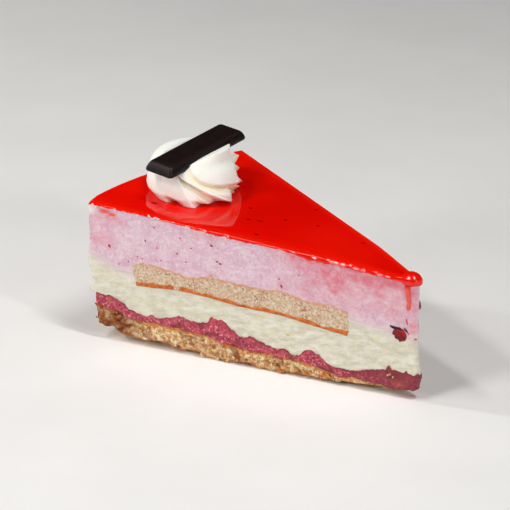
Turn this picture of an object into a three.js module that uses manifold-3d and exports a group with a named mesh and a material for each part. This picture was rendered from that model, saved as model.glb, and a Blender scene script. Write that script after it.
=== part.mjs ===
// A slice of layered mousse cake: biscuit, raspberry layer, vanilla mousse round a
// sponge slab, raspberry mousse and red glaze, with a piped rosette and a chocolate bar.
// Millimetres, +Z up. The tip points along +X and the shown cut face looks along -Y.
// Every layer is given in polar measures: r from the middle of the whole cake, and
// v from 0 at the shown cut face to 1 at the far one.

import * as THREE from "three";
import { mergeVertices } from "three/addons/utils/BufferGeometryUtils.js";
import Module from "manifold-3d";

const wasm = await Module();
wasm.setup();

// Whole slice
const SLICE_ANGLE = THREE.MathUtils.degToRad(34);
const HALF_ANGLE = SLICE_ANGLE / 2;
const RIM_RADIUS = 125;
const TIP_RADIUS = 5.7;
const RIM_HEIGHT = 50.1;
const TIP_HEIGHT = 42.4;
const GAP = 0.3;

// Grid of every layer
const STATIONS_ALONG = 40;
const ROWS_ACROSS = [0, 0.06, 0.2, 0.4, 0.6, 0.8, 0.94, 1];

// Glaze
const GLAZE_AT_RIM = 1.2;
const GLAZE_AT_TIP = 2.5;
const GLAZE_EDGE_BULGE = 0.3;
const GLAZE_EDGE_INSET = 0.25;
const BEAD_SIZE = new THREE.Vector3(4.1, 3.2, 2.6);
const BEAD_RADIUS_FROM_MIDDLE = 8.4;
const BEAD_HEIGHT = 40.1;
const DRIP_RADIUS_FROM_MIDDLE = 7.4;
const DRIP_TOP = 39;
const DRIP_BOTTOM = 31;
const DRIP_HALF_WIDTH = 0.85;

// Sponge slab, which stops short of the tip and of the rim, where its end leans outwards
const SLAB_INNER = 28.6;
const SLAB_OUTER = 109.2;
const SLAB_LEAN = 1.6;
const STEP_RUN = 0.35;

// Biscuit
const BISCUIT_INNER = 12;
const BISCUIT_FLAT_FROM = 30;
const BISCUIT_TIP_LIFT = 2.1;
const UNDERSIDE_SLOPE = 0.38;

// Rosette of piped cream
const ROSETTE_CENTRE = new THREE.Vector2(-103.1, -3);
const ROSETTE_LEAN = new THREE.Vector2(-3, 3);
const ROSETTE_HEIGHT = 17.2;
const ROSETTE_FLUTES = 11;
const FLUTE_DEPTH = 0.2;
const ROSETTE_TWIST = THREE.MathUtils.degToRad(62);
const STEPS_PER_FLUTE = 6;
const ROSETTE_LEVELS = 13;

// Chocolate bar pressed into the rosette
const BAR_LENGTH = 41.5;
const BAR_WIDTH = 11.6;
const BAR_THICKNESS = 3.5;
const BAR_SLOPE = 1.5;
const BAR_CORNER = 1.3;
const BAR_MIDDLE = new THREE.Vector3(-103.7, -1.8, 61.6);
const BAR_TURN = new THREE.Euler(
  THREE.MathUtils.degToRad(5.8),
  THREE.MathUtils.degToRad(-5.2),
  THREE.MathUtils.degToRad(96.5),
  "ZYX",
);

// Pieces of berry in the mousse, each half showing at a cut face
const FRONT_BERRY = {
  radius: 10, height: 22.2, inset: 1.4,
  size: new THREE.Vector3(2.5, 1.8, 2.5),
};
const BACK_BERRY = {
  radius: 8.4, height: 33, inset: 0.4,
  size: new THREE.Vector3(1.9, 1.3, 2.1),
};

// Smooth height along the radius through a few measured pairs
function heightCurve(pairs) {
  const radii = pairs.map(([radius]) => radius);
  const heights = pairs.map(([, height]) => height);
  const spline = new THREE.CubicInterpolant(radii, heights, 1);
  return (radius) => spline.evaluate(radius)[0];
}

// Seeded value noise between -1 and 1
function latticeValue(i, j, seed) {
  let h = Math.imul(i, 374761393) ^ Math.imul(j, 668265263) ^ Math.imul(seed, 974634777);
  h = Math.imul(h ^ (h >>> 13), 1274126177);
  h ^= h >>> 16;
  return ((h >>> 0) / 4294967295) * 2 - 1;
}

function noise(x, y, seed) {
  const i = Math.floor(x);
  const j = Math.floor(y);
  const fx = THREE.MathUtils.smoothstep(x - i, 0, 1);
  const fy = THREE.MathUtils.smoothstep(y - j, 0, 1);
  const low = THREE.MathUtils.lerp(latticeValue(i, j, seed), latticeValue(i + 1, j, seed), fx);
  const high = THREE.MathUtils.lerp(
    latticeValue(i, j + 1, seed), latticeValue(i + 1, j + 1, seed), fx,
  );
  return THREE.MathUtils.lerp(low, high, fy);
}

// A boundary between layers: measured along the shown face, and waves of like size
// round the same slope at the far one
function boundary({ shown, tip, rim, wave, length, seed }) {
  const front = heightCurve(shown);
  return (radius, v) => {
    const along = (radius - TIP_RADIUS) / (RIM_RADIUS - TIP_RADIUS);
    const slope = THREE.MathUtils.lerp(tip, rim, along);
    const back = slope + wave * noise(radius / length, 7.3, seed);
    const inside = wave * 0.6 * noise(radius / length, v * 3 + 0.5, seed + 1);
    const nearFace = THREE.MathUtils.lerp(front(radius), back, THREE.MathUtils.smoothstep(v, 0, 1));
    return nearFace + inside * 4 * Math.max(v * (1 - v), 0);
  };
}

const raspberryTop = boundary({
  shown: [
    [5, 8.8], [14, 9.8], [21, 7.8], [31, 6], [38, 7.5], [44, 9.8], [52, 8.4], [61, 9.8],
    [70, 11.8], [78, 15.4], [84, 13.4], [93, 13.1], [104, 11.9], [113, 14.9], [126, 16.6],
  ],
  tip: 8.5, rim: 16, wave: 1.4, length: 11, seed: 11,
});
const raspberryBottom = boundary({
  shown: [
    [5, 3.1], [14, 2.9], [30, 3.6], [42, 5.3], [57, 6.3], [72, 6.7], [83, 8.4],
    [106, 9.3], [118, 11], [126, 12.9],
  ],
  tip: 3, rim: 11.5, wave: 0.9, length: 17, seed: 21,
});
const mousseLine = boundary({
  shown: [[5, 21.3], [19, 22.7], [28, 24], [68, 25.5], [108, 25.6], [114, 27], [126, 31]],
  tip: 21.3, rim: 29, wave: 1, length: 23, seed: 31,
});
const slabTop = boundary({
  shown: [
    [28, 26.6], [36, 27.3], [42, 27.4], [54, 29.5], [61, 28.8], [72, 29.6], [78, 30.3],
    [86, 28.9], [98, 30.4], [104, 29.9], [109, 28.4],
  ],
  tip: 26.4, rim: 30.4, wave: 0.8, length: 13, seed: 41,
});
const slabBottom = boundary({
  shown: [[28, 18.2], [41, 20], [54, 21.3], [68, 21.6], [85, 22.8], [93, 23.5], [109, 22.2]],
  tip: 18, rim: 23.4, wave: 0.6, length: 29, seed: 51,
});
const biscuitShownEdge = heightCurve([
  [12, 2.2], [22, 2.2], [30, 1.5], [46, 1.1], [60, 0.4], [75, 0.3], [85, 2.1], [99, 2.9],
  [111, 2.8], [118, 5], [126, 7.5],
]);

function glazeTop(radius) {
  const along = (radius - TIP_RADIUS) / (RIM_RADIUS - TIP_RADIUS);
  return THREE.MathUtils.lerp(TIP_HEIGHT, RIM_HEIGHT, along);
}

function mousseTop(radius) {
  const along = (radius - TIP_RADIUS) / (RIM_RADIUS - TIP_RADIUS);
  const thickness = THREE.MathUtils.lerp(GLAZE_AT_TIP, GLAZE_AT_RIM, Math.min(1, along * 1.25));
  return glazeTop(radius) - thickness - GAP;
}

// The underside is flat where it bears, and lifts at its broken edges
function biscuitUnderside(radius, v) {
  const across = radius * SLICE_ANGLE;
  const farEdge = 0.9 + noise(radius / 6, 3.1, 61);
  const rimEdge = 2 + 1.2 * noise(v * 6, 1.7, 62);
  const tipLift = BISCUIT_TIP_LIFT * (BISCUIT_FLAT_FROM - radius);
  return Math.max(
    0,
    biscuitShownEdge(radius) - v * across * UNDERSIDE_SLOPE,
    farEdge - (1 - v) * across * UNDERSIDE_SLOPE,
    rimEdge - (RIM_RADIUS - radius) * UNDERSIDE_SLOPE,
    tipLift / (BISCUIT_FLAT_FROM - BISCUIT_INNER),
  );
}

// Places in polar measures, with the middle of the whole cake at x = 0
function place(radius, v) {
  const angle = (v - 0.5) * SLICE_ANGLE;
  return new THREE.Vector2(-radius * Math.cos(angle), radius * Math.sin(angle));
}

function polar(point) {
  return {
    radius: point.length(),
    v: Math.atan2(point.y, -point.x) / SLICE_ANGLE + 0.5,
  };
}

function faceNormal(v) {
  const side = v < 0.5 ? -1 : 1;
  return new THREE.Vector2(Math.sin(HALF_ANGLE), side * Math.cos(HALF_ANGLE));
}

function weld(geometry) {
  geometry.deleteAttribute("normal");
  geometry.deleteAttribute("uv");
  const welded = mergeVertices(geometry, 1e-4);
  const index = welded.index.array;
  const kept = [];
  for (let t = 0; t < index.length; t += 3) {
    const [a, b, c] = [index[t], index[t + 1], index[t + 2]];
    if (a !== b && b !== c && c !== a) kept.push(a, b, c);
  }
  welded.setIndex(kept);
  return welded;
}

function reshape(geometry, move) {
  const positions = geometry.attributes.position;
  const point = new THREE.Vector3();
  for (let i = 0; i < positions.count; i += 1) {
    point.fromBufferAttribute(positions, i);
    move(point);
    positions.setXYZ(i, point.x, point.y, point.z);
  }
  return geometry;
}

// Radii from the rim to the tip, evenly spaced between the given marks
function spreadStations(marks) {
  const span = marks[0] - marks[marks.length - 1];
  const stations = [marks[0]];
  for (let m = 1; m < marks.length; m += 1) {
    const length = marks[m - 1] - marks[m];
    const count = Math.max(1, Math.round((STATIONS_ALONG * length) / span));
    for (let k = 1; k <= count; k += 1) stations.push(marks[m - 1] - (length * k) / count);
  }
  return stations;
}

// A layer is a box bent into the wedge. Its relief functions push the cut faces, the rim
// and the tip outwards, and its heights are read at the place where each point ends up.
function layer({ stations, levels, bottom, top, faceRelief, rimRelief, tipRelief }) {
  const last = stations.length - 1;
  const rows = ROWS_ACROSS.length - 1;
  const box = weld(new THREE.BoxGeometry(1, 1, 1, last, rows, levels));
  return reshape(box, (point) => {
    const i = Math.round((point.x + 0.5) * last);
    const v = ROWS_ACROSS[Math.round((point.y + 0.5) * rows)];
    const w = point.z + 0.5;
    const flat = place(stations[i], v);
    if (v === 0 || v === 1) {
      flat.addScaledVector(faceNormal(v), faceRelief(stations[i], v, w));
    }
    if (i === 0) flat.addScaledVector(flat.clone().normalize(), rimRelief(v, w));
    if (i === last) flat.x += tipRelief(v, w);
    const at = polar(flat);
    const low = bottom(at.radius, at.v, stations[i]);
    const high = top(at.radius, at.v, stations[i]);
    point.set(flat.x, flat.y, THREE.MathUtils.lerp(low, high, w));
  });
}

const fullStations = spreadStations([
  RIM_RADIUS,
  SLAB_OUTER + GAP + STEP_RUN,
  SLAB_OUTER + GAP,
  SLAB_OUTER + GAP - SLAB_LEAN,
  SLAB_INNER - GAP,
  SLAB_INNER - GAP - STEP_RUN,
  TIP_RADIUS,
]);
const withinSlab = (radius, end) => radius < end + GAP * 1.5 && radius > SLAB_INNER - GAP * 1.5;

function biscuitBase() {
  return layer({
    stations: spreadStations([RIM_RADIUS, SLAB_OUTER, BISCUIT_FLAT_FROM, BISCUIT_INNER]),
    levels: 2,
    bottom: biscuitUnderside,
    top: (radius, v) => raspberryBottom(radius, v) - GAP,
    faceRelief: (radius, v, w) => -0.5 + 0.7 * noise(radius / 3.2, w * 2 + v * 9, 71),
    rimRelief: (v, w) => -1.5 + 0.6 * noise(v * 14, w * 2, 72),
    tipRelief: () => 0,
  });
}

function raspberryLayer() {
  return layer({
    stations: fullStations,
    levels: 2,
    bottom: raspberryBottom,
    top: (radius, v) => raspberryTop(radius, v) - GAP,
    faceRelief: (radius, v, w) => 0.05 + 0.45 * noise(radius / 3.4, w * 2 + v * 9, 81),
    rimRelief: (v, w) => -0.6 + 0.45 * noise(v * 12, w * 2, 82),
    tipRelief: (v, w) => 1.1 + 0.7 * w,
  });
}

function vanillaMousse() {
  return layer({
    stations: fullStations,
    levels: 3,
    bottom: raspberryTop,
    top: (radius, v, station) => {
      if (withinSlab(station, SLAB_OUTER - SLAB_LEAN)) return slabBottom(radius, v) - GAP;
      return mousseLine(radius, v);
    },
    faceRelief: (radius, v, w) => 0.12 * noise(radius / 6, w * 3 + v * 9, 91),
    rimRelief: (v, w) => 0.1 + 1.2 * Math.sin(Math.PI * Math.min(1, 0.15 + 0.8 * w)),
    tipRelief: (v, w) => 1.7 * Math.max(0, 1 - 1.4 * w) ** 2,
  });
}

function raspberryMousse() {
  return layer({
    stations: fullStations,
    levels: 3,
    bottom: (radius, v, station) => {
      if (withinSlab(station, SLAB_OUTER)) return slabTop(radius, v) + GAP;
      return mousseLine(radius, v) + GAP;
    },
    top: (radius) => mousseTop(radius),
    faceRelief: (radius, v, w) => 0.1 * noise(radius / 8, w * 3 + v * 9, 95),
    rimRelief: (v, w) => 0.9 - 0.3 * w,
    tipRelief: () => 0,
  });
}

function spongeSlab() {
  return layer({
    stations: spreadStations([SLAB_OUTER, SLAB_INNER]).filter((radius, i) => i % 2 === 0),
    levels: 2,
    bottom: slabBottom,
    top: slabTop,
    faceRelief: (radius, v, w) => -0.1 + 0.25 * noise(radius / 3, w * 2 + v * 9, 101),
    rimRelief: (v, w) => SLAB_LEAN * (w - 1),
    tipRelief: () => 0,
  });
}

function toManifold(geometry) {
  return new wasm.Manifold(new wasm.Mesh({
    numProp: 3,
    vertProperties: Float32Array.from(geometry.attributes.position.array),
    triVerts: Uint32Array.from(geometry.index.array),
  }));
}

function toGeometry(solid) {
  const mesh = solid.getMesh();
  const geometry = new THREE.BufferGeometry();
  geometry.setAttribute("position", new THREE.BufferAttribute(mesh.vertProperties, 3));
  geometry.setIndex(new THREE.BufferAttribute(mesh.triVerts, 1));
  return geometry;
}

// The space of the mousse at the tip, grown by the gap, that the glaze keeps clear of
function tipClearance() {
  return layer({
    stations: spreadStations([BEAD_RADIUS_FROM_MIDDLE * 2.5, TIP_RADIUS])
      .filter((radius, i) => i % 8 === 0),
    levels: 1,
    bottom: () => DRIP_BOTTOM - 4,
    top: (radius) => mousseTop(radius) + GAP,
    faceRelief: () => GAP + 0.08,
    rimRelief: () => 0,
    tipRelief: () => GAP,
  });
}

function glazeSheet() {
  return layer({
    stations: fullStations.filter((radius, i) => i % 2 === 0 || radius === TIP_RADIUS),
    levels: 2,
    bottom: (radius) => mousseTop(radius) + GAP,
    top: (radius) => glazeTop(radius),
    faceRelief: (radius, v, w) => {
      const drawn = w === 1 ? -GLAZE_EDGE_INSET : 0;
      return w === 0.5 ? GLAZE_EDGE_BULGE : drawn;
    },
    rimRelief: (v, w) => (w === 1 ? -GLAZE_EDGE_INSET : 0),
    tipRelief: () => 0,
  });
}

// The bead at the tip is egg-shaped, and its drip thins and then swells at its end
function glazeBead() {
  const bead = weld(new THREE.SphereGeometry(1, 20, 12));
  return reshape(bead, (point) => {
    point.multiply(BEAD_SIZE);
    point.add(new THREE.Vector3(-BEAD_RADIUS_FROM_MIDDLE, 0, BEAD_HEIGHT));
  });
}

function glazeDrip() {
  const length = DRIP_TOP - DRIP_BOTTOM;
  const profile = [[0, 0], [0.7, 0.35], [1, 1], [0.75, 2.6], [0.8, length - 1], [1.1, length]]
    .map(([width, height]) => new THREE.Vector2(width * DRIP_HALF_WIDTH, height));
  profile.push(new THREE.Vector2(0, length));
  const drip = weld(new THREE.LatheGeometry(profile, 12));
  const foot = place(DRIP_RADIUS_FROM_MIDDLE, 0).addScaledVector(faceNormal(0), GAP + 0.2);
  return reshape(drip, (point) => {
    point.set(point.x + foot.x, -point.z + foot.y, point.y + DRIP_BOTTOM);
  });
}

function glaze() {
  const poured = toManifold(glazeSheet())
    .add(toManifold(glazeBead()))
    .add(toManifold(glazeDrip()));
  return toGeometry(poured.subtract(toManifold(tipClearance())));
}

// A berry piece sits half in a cut face and narrows downwards
function berryPiece({ radius, height, inset, size }, v, grow) {
  const normal = faceNormal(v);
  const middle = place(radius, v).addScaledVector(normal, -inset);
  const along = new THREE.Vector2(normal.y, -normal.x);
  const ball = weld(new THREE.SphereGeometry(1, 14, 9));
  return reshape(ball, (point) => {
    const taper = 0.86 + 0.14 * point.z;
    const side = point.x * (size.x + grow) * taper;
    const out = point.y * (size.y + grow);
    const flat = middle.clone().addScaledVector(along, side).addScaledVector(normal, out);
    point.set(flat.x, flat.y, height + point.z * (size.z + grow));
  });
}

function withPockets(geometry) {
  const pockets = toManifold(berryPiece(FRONT_BERRY, 0, GAP))
    .add(toManifold(berryPiece(BACK_BERRY, 1, GAP)));
  return toGeometry(toManifold(geometry).subtract(pockets));
}

// The rosette is a turned dome with flutes that twist outwards as they run down
function rosetteDome() {
  const side = new THREE.SplineCurve([
    new THREE.Vector2(14, 0),
    new THREE.Vector2(15.8, 2),
    new THREE.Vector2(16.3, 4.8),
    new THREE.Vector2(15.6, 8.4),
    new THREE.Vector2(13.6, 11.8),
    new THREE.Vector2(10.4, 14.4),
    new THREE.Vector2(6, 16.3),
    new THREE.Vector2(0, ROSETTE_HEIGHT),
  ]).getSpacedPoints(ROSETTE_LEVELS - 1);
  side[side.length - 1].x = 0;
  const profile = [new THREE.Vector2(0, 0), ...side];
  const dome = new THREE.LatheGeometry(profile, ROSETTE_FLUTES * STEPS_PER_FLUTE);
  return reshape(weld(dome), (point) => {
    const height = point.y;
    const turn = Math.atan2(point.x, point.z);
    const rise = height / ROSETTE_HEIGHT;
    const wave = Math.abs(Math.sin((turn * ROSETTE_FLUTES) / 2)) ** 0.8;
    const depth = FLUTE_DEPTH * Math.sqrt(Math.max(0, 1 - rise ** 2));
    const radius = Math.hypot(point.x, point.z) * (1 - depth * (1 - wave));
    const angle = turn + ROSETTE_TWIST * (1 - rise);
    const lean = rise ** 2;
    const x = ROSETTE_CENTRE.x + ROSETTE_LEAN.x * lean + radius * Math.cos(angle);
    const y = ROSETTE_CENTRE.y + ROSETTE_LEAN.y * lean + radius * Math.sin(angle);
    point.set(x, y, glazeTop(Math.hypot(x, y)) + GAP + height);
  });
}

// A bar with rounded corners whose sides lean in towards its top
function barStack(grow, top) {
  const levels = [[-grow, 0], [top * 0.35, 0.15], [top * 0.75, 0.6], [top, 1]];
  const shape = new THREE.Shape();
  const halfLength = BAR_LENGTH / 2 + grow;
  const halfWidth = BAR_WIDTH / 2 + grow;
  shape.moveTo(halfLength, halfWidth - BAR_CORNER);
  shape.absarc(halfLength - BAR_CORNER, halfWidth - BAR_CORNER, BAR_CORNER, 0, Math.PI / 2);
  shape.absarc(-halfLength + BAR_CORNER, halfWidth - BAR_CORNER, BAR_CORNER, Math.PI / 2, Math.PI);
  shape.absarc(
    -halfLength + BAR_CORNER, -halfWidth + BAR_CORNER, BAR_CORNER, Math.PI, Math.PI * 1.5,
  );
  shape.absarc(
    halfLength - BAR_CORNER, -halfWidth + BAR_CORNER, BAR_CORNER, Math.PI * 1.5, Math.PI * 2,
  );
  const bar = new THREE.ExtrudeGeometry(shape, {
    depth: 1, steps: levels.length - 1, bevelEnabled: false, curveSegments: 4,
  });
  return reshape(weld(bar), (point) => {
    const [height, lean] = levels[Math.round(point.z * (levels.length - 1))];
    const inset = lean * BAR_SLOPE;
    point.x *= 1 - inset / halfLength;
    point.y *= 1 - inset / halfWidth;
    point.z = height;
  });
}

function chocolateBar() {
  return barStack(0, BAR_THICKNESS);
}

// What the bar pushes aside: its own space and everything above it
function barClearance() {
  const clearance = barStack(GAP, BAR_THICKNESS);
  const placed = new THREE.Matrix4().makeRotationFromEuler(BAR_TURN).setPosition(BAR_MIDDLE);
  return reshape(clearance, (point) => {
    if (point.z > 0) point.set(point.x * 1.02, point.y * 1.02, point.z * 4);
    point.applyMatrix4(placed);
  });
}

function creamRosette() {
  return toGeometry(toManifold(rosetteDome()).subtract(toManifold(barClearance())));
}

const glazeRed = new THREE.MeshStandardMaterial({
  color: 0xd8170c, roughness: 0.08, metalness: 0,
});
const mousseRose = new THREE.MeshStandardMaterial({
  color: 0xdabbc6, roughness: 0.75, metalness: 0,
});
const mousseIvory = new THREE.MeshStandardMaterial({
  color: 0xdbd4c1, roughness: 0.75, metalness: 0,
});
const crumbBeige = new THREE.MeshStandardMaterial({
  color: 0xd3c1a8, roughness: 0.9, metalness: 0,
});
const fruitPurple = new THREE.MeshStandardMaterial({
  color: 0xb34a60, roughness: 0.5, metalness: 0,
});
const biscuitGold = new THREE.MeshStandardMaterial({
  color: 0xb88a58, roughness: 0.9, metalness: 0,
});
const creamWhite = new THREE.MeshStandardMaterial({
  color: 0xf0e6d8, roughness: 0.55, metalness: 0,
});
const darkChocolate = new THREE.MeshStandardMaterial({
  color: 0x2a1c1a, roughness: 0.35, metalness: 0,
});
const berryRed = new THREE.MeshStandardMaterial({
  color: 0x6e0f1c, roughness: 0.2, metalness: 0,
});

function piece(name, geometry, material) {
  const mesh = new THREE.Mesh(geometry, material);
  mesh.name = name;
  return mesh;
}

const bar = piece("chocolate_bar", chocolateBar(), darkChocolate);
bar.position.copy(BAR_MIDDLE);
bar.rotation.copy(BAR_TURN);

const group = new THREE.Group();
group.add(
  piece("biscuit_base", biscuitBase(), biscuitGold),
  piece("raspberry_layer", raspberryLayer(), fruitPurple),
  piece("vanilla_mousse", withPockets(vanillaMousse()), mousseIvory),
  piece("sponge_slab", spongeSlab(), crumbBeige),
  piece("raspberry_mousse", withPockets(raspberryMousse()), mousseRose),
  piece("glaze", glaze(), glazeRed),
  piece("cream_rosette", creamRosette(), creamWhite),
  bar,
  piece("berry_front", berryPiece(FRONT_BERRY, 0, 0), berryRed),
  piece("berry_back", berryPiece(BACK_BERRY, 1, 0), berryRed),
);

// The origin is the middle of the footprint, on the ground
const extent = new THREE.Box3().setFromObject(group, true);
const middle = extent.getCenter(new THREE.Vector3());
group.position.set(-middle.x, -middle.y, -extent.min.z);

export default group;
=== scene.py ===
import math

import bpy
import numpy as np
from mathutils import Matrix, Vector


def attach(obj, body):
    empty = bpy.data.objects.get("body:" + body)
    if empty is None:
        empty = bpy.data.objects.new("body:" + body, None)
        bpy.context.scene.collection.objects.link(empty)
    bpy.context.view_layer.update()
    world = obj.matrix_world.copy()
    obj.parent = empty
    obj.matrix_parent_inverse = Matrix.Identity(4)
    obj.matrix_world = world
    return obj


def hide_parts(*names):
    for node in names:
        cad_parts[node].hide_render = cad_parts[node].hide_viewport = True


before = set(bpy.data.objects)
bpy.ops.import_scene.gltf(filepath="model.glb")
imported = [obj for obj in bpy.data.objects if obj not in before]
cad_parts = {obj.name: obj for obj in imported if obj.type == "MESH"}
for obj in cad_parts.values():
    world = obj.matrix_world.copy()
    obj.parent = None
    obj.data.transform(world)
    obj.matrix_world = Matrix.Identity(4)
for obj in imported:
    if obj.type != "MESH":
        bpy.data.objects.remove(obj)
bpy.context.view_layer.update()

# A slice of mousse cake. Lengths are millimetres from the middle of the whole cake until
# a mesh is made. Layers are given in polar measures: r from the middle of the cake, and v
# from 0 at the shown cut face to 1 at the far one.
MIDDLE_OF_CAKE = np.array([64.7947, 0.0116, 0.0])
MM = 0.001

# Whole slice
SLICE_ANGLE = math.radians(34)
HALF_ANGLE = SLICE_ANGLE / 2
RIM_RADIUS = 125.0
TIP_RADIUS = 5.7
RIM_HEIGHT = 50.1
TIP_HEIGHT = 42.4
NOSE = 0.9

# Grid of every layer
COLUMN_STEP = 0.3
RIM_STEP = 0.4
CORNER_REACH = 2.0
CAP_ROWS = np.array([0.06, 0.2, 0.4, 0.6, 0.8, 0.94])[:, None]

# Sponge slab: the mousses lap over its ends by its hold, and reach into it by its lap
SLAB_INNER = 28.6
SLAB_OUTER = 109.2
SLAB_LEAN = 1.6
SLAB_HOLD = 1.0
SLAB_LAP = 0.8
CRUST_BREAK = 92.2

# Biscuit
BISCUIT_INNER = 12.0
BISCUIT_FLAT_FROM = 30.0
BISCUIT_TIP_LIFT = 2.1
UNDERSIDE_SLOPE = 0.38

# Glaze: it covers the mousse, dips towards the shown cut face and falls towards the tip. Its cut
# edge leans back a little, and its lip is rounder in a few places: radius from the middle of
# the cake, half length and size.
GLAZE_AT_TIP = 2.8
GLAZE_AT_RIM = 1.5
GLAZE_COVER = 0.6
DIP_REACH = 5.4
DIP_DEPTH = 0.8
DIP_FULL_WIDTH = 24.0
TIP_FALL = 1.3
EDGE_LEAN = 0.25
LIP_REACH = 1.5
LIP_SHARP = 0.14
LIP_ROUNDS = [
    (32.4, 4.4, 1.6), (25, 4, 1.5), (16.2, 4, 1.5), (81.5, 1.6, 1), (72.8, 1.2, 1),
    (52.9, 1.6, 1), (48.5, 1.4, 1), (40.9, 1.6, 1.1)]
LIP_STEPS = [("foot", 4), ("upright", 3), ("lip", 12)]
GLAZE_EDGE_ROWS = np.array([0.15, 0.35, 0.6, 0.9, 1.3, 1.8, 2.4, 3.1, 3.9, 4.7, 5.5, 6.5])
GLAZE_MIDDLE_ROWS = 44
BEAD_SIZE = np.array([3.5, 3.1, 2.6])
BEAD_SHARPNESS = 6.0
BEAD_MIDDLE = np.array([-7.7, 0.1, 40.75])
DRIP_RADIUS_FROM_MIDDLE = 7.4
DRIP_TOP = 39.4
DRIP_BOTTOM = 30.8
DRIP_HALF_WIDTH = 0.74

# Rosette. Each flute: the angle of the valley before it, in degrees round the foot, how deep
# that valley is at the foot and above, the angle of its crest, how full that is at the foot and
# above, how far the flute turns on its way up, the share of its far side that falls away, and
# how round its crest is.
ROSETTE_MIDDLE = np.array([-103.1, -3.0])
ROSETTE_LEAN = np.array([-1.7, 1.7])
ROSETTE_HEIGHT = 17.2
ROSETTE_TURNS = 420
ROSETTE_LEVELS = 110
COIL_RADIUS = 15.0
FLUTES = [
    (-176, 0.12, 0.08, -158, 1, 1, 92, 0.7, 0.5), (-143, 0.1, 0.02, -85, 1.02, 1, 38, 1, 1),
    (-76, 0.27, 0.05, -47, 1.03, 1, 32, 1, 1), (-36, 0.22, 0.04, -22, 0.76, 0.93, 90, 1, 1),
    (-6, 0.27, 0.15, 10, 0.8, 1.04, 124, 0.6, 0), (30, 0.24, 0.24, 42, 0.83, 0.83, 138, 0.5, 0),
    (52, 0.2, 0.2, 62, 0.9, 0.9, 137, 0.5, 0), (69, 0.15, 0.15, 77, 0.97, 0.97, 131, 0.7, 0),
    (88.5, 0.26, 0.26, 112, 0.965, 0.965, 130, 0.9, 0),
    (123.5, 0.11, 0.11, 148, 1.12, 1.12, 130, 0.4, 0), (151, 0.03, 0.03, 172, 1, 1, 118, 0.6, 0.5)]
# Smooth top coil of the rosette: angle and share of the height along its lower edge
COIL_EDGE = [
    (-62, 1.0), (-56, 0.86), (-52, 0.73), (-48.4, 0.61), (-39.6, 0.5), (-29.5, 0.44), (-17, 0.39),
    (-2.5, 0.366), (21.7, 0.3), (44, 0.25), (70, 0.2), (100, 0.15)]

# Chocolate bar pressed into the rosette. The cream's heights are from the bar's underside: under
# the bar and at its side, from where it may rise by its spread for each millimetre away.
BAR_LENGTH = 41.5
BAR_WIDTH = 11.6
BAR_THICKNESS = 3.5
BAR_MIDDLE = np.array([-103.7, -1.8, 61.6])
BAR_TURN = (math.radians(5.8), math.radians(-5.2), math.radians(96.5))
CREAM_UNDER_BAR = -0.2
CREAM_BESIDE_BAR = 1.7
CREAM_SPREAD = 0.55

# Specks of fruit in the shown face: radius, height, half length, lean in degrees
SPECKS = [
    (118, 34.7, 0.7, -50), (103.9, 38.8, 0.48, -70), (99.5, 36.9, 0.3, -60), (100.4, 44.1, 0.42, 0),
    (91.8, 36.2, 0.4, -20), (90.5, 41.9, 0.3, 40), (78.7, 41.2, 0.6, -20), (76.7, 35.9, 0.5, -20),
    (75.4, 35.3, 0.5, -5), (52.8, 31.3, 0.6, -55), (53.7, 33.7, 0.32, 0), (88.5, 33.8, 0.3, 0),
    (86.4, 39, 0.32, 30), (98, 32.8, 0.24, 80), (107.1, 32.6, 0.3, 0), (105.2, 32.2, 0.3, -20),
    (110.7, 30.3, 0.25, 60), (114.4, 28.7, 0.24, 0), (46.4, 36.4, 0.24, 0), (4.6, 21.4, 0.5, 0),
    (13.9, 9.6, 1, 80), (12.2, 9, 0.4, 0), (7.6, 9.4, 0.5, 60)]
# Seeds in the glaze: radius, place across, half length, direction in degrees
SEEDS = [
    (106.3, 0.155, 1.5, 5), (80.3, 0.509, 0.9, 0), (70.5, 0.368, 1.1, 20), (65.3, 0.547, 1, 10),
    (64.6, 0.119, 1.1, -10), (35.7, 0.839, 0.8, 30), (66.4, 0.913, 1, 60), (73.9, 0.331, 0.9, 15),
    (55, 0.7, 0.7, 40), (96, 0.72, 0.8, -20)]

# Bits of mousse along the foot of the glaze: radius, half length of the group, size
WHITE_CLUSTERS = [
    (123.6, 0.9, 1.3), (115.6, 0.6, 0.9), (106.4, 0.6, 0.9), (100.6, 1.9, 1.3), (87.8, 1.4, 1.2),
    (84.5, 0.7, 1), (79.1, 1.4, 1.2), (74.4, 1.2, 1.1), (69.3, 0.9, 0.8), (63.8, 1.4, 0.8)]

# Camera: it looks at a point inside the slice; angles are in degrees
CAMERA_AZIMUTH = 44.407
CAMERA_ELEVATION = 20.589
CAMERA_ROLL = 0.331
CAMERA_DISTANCE = 879.02
CAMERA_TARGET = np.array([-98.240, 21.042, 20.0])
CAMERA_LENS = 176.47

# Stage, in metres
FLOOR_WIDTH = 6.0
LIGHT_DISTANCE = 1.1
LIGHT_WIDTH = 0.08
LIGHT_CENTRE = np.array([0, 0, 0.03])
DOME = {"From Min": 0.6, "From Max": 0.98, "To Min": 0.01, "To Max": 0.2}


# Numbers

def smooth(value, low, high):
    """0 below low, 1 above high, and a smooth step between; low may be the larger."""
    t = np.clip((value - low) / (high - low), 0, 1)
    return t * t * (3 - 2 * t)


def lerp(a, b, t):
    return a + (b - a) * t


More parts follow.
